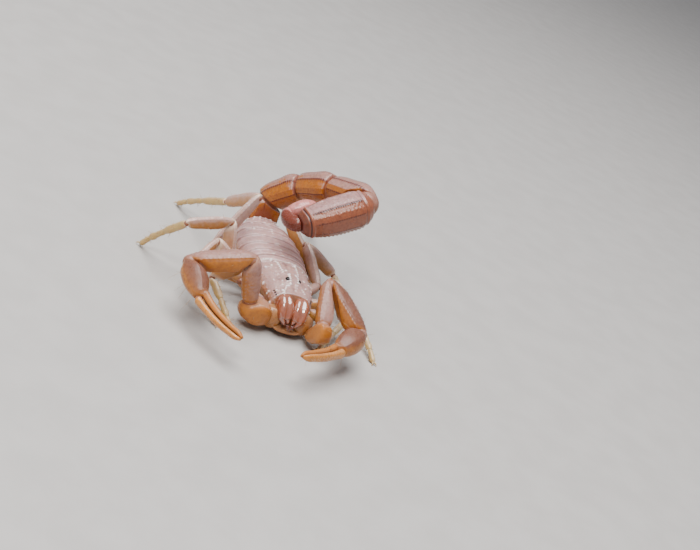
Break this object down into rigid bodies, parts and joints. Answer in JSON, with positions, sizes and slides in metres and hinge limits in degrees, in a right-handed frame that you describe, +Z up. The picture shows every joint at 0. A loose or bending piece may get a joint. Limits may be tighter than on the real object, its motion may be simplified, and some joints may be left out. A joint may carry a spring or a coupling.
{
  "type": "scorpion model",
  "caption": "Life-size still model of a small thick-tailed scorpion, tail curled over its back and pincers held forward.",
  "frame": {"origin": "on the floor under the middle of the bounding box", "axes": "+X to the animal's left, -Y ahead of its head, +Z up"},
  "size_m": [0.0234, 0.0362, 0.0132],
  "materials": {
    "shell_top": "glossy chitin, pinkish tan with a lilac sheen",
    "shell_under": "glossy translucent amber chitin",
    "mouth_red": "wet-looking reddish chitin",
    "tail_amber": "glossy amber chitin with dark ridges",
    "tail_red": "dark reddish pitted chitin with darker ridges",
    "sting_pink": "smooth pink chitin",
    "arm_amber": "glossy pinkish amber chitin",
    "leg_amber": "glossy amber chitin",
    "leg_pale": "pale yellow chitin",
    "eye_black": "black and wet-looking"
  },
  "bodies": {
    "root": {"carapace": "shell_top", "chelicera_left": "mouth_red", "chelicera_right": "mouth_red", "coxosternum": "shell_under", "leg_1_femur_left": "leg_amber", "leg_1_femur_right": "leg_amber", "leg_1_patella_left": "leg_amber", "leg_1_patella_right": "leg_amber", "leg_1_tarsus_left": "leg_pale", "leg_1_tarsus_right": "leg_pale", "leg_2_femur_left": "leg_amber", "leg_2_femur_right": "leg_amber", "leg_2_patella_left": "leg_amber", "leg_2_patella_right": "leg_amber", "leg_2_tarsus_left": "leg_pale", "leg_2_tarsus_right": "leg_pale", "leg_3_femur_left": "leg_amber", "leg_3_femur_right": "leg_amber", "leg_3_patella_left": "leg_amber", "leg_3_patella_right": "leg_amber", "leg_3_tarsus_left": "leg_pale", "leg_3_tarsus_right": "leg_pale", "leg_4_femur_left": "leg_amber", "leg_4_femur_right": "leg_amber", "leg_4_patella_left": "leg_amber", "leg_4_patella_right": "leg_amber", "leg_4_tarsus_left": "leg_pale", "leg_4_tarsus_right": "leg_pale", "median_eye_left": "eye_black", "median_eye_right": "eye_black", "metasoma_1": "tail_amber", "metasoma_2": "tail_amber", "metasoma_3": "tail_amber", "metasoma_4": "tail_amber", "metasoma_5": "tail_red", "movable_finger_left": "arm_amber", "movable_finger_right": "arm_amber", "pectine_left": "shell_under", "pectine_right": "shell_under", "pedipalp_femur_left": "arm_amber", "pedipalp_femur_right": "arm_amber", "pedipalp_palm_left": "arm_amber", "pedipalp_palm_right": "arm_amber", "pedipalp_patella_left": "arm_amber", "pedipalp_patella_right": "arm_amber", "pedipalp_trochanter_left": "arm_amber", "pedipalp_trochanter_right": "arm_amber", "sternite_3": "shell_under", "sternite_4": "shell_under", "sternite_5": "shell_under", "sternite_6": "shell_under", "sternite_7": "shell_under", "telson": "sting_pink", "tergite_1": "shell_top", "tergite_2": "shell_top", "tergite_3": "shell_top", "tergite_4": "shell_top", "tergite_5": "shell_top", "tergite_6": "shell_top", "tergite_7": "shell_top"}
  },
  "joints": []
}
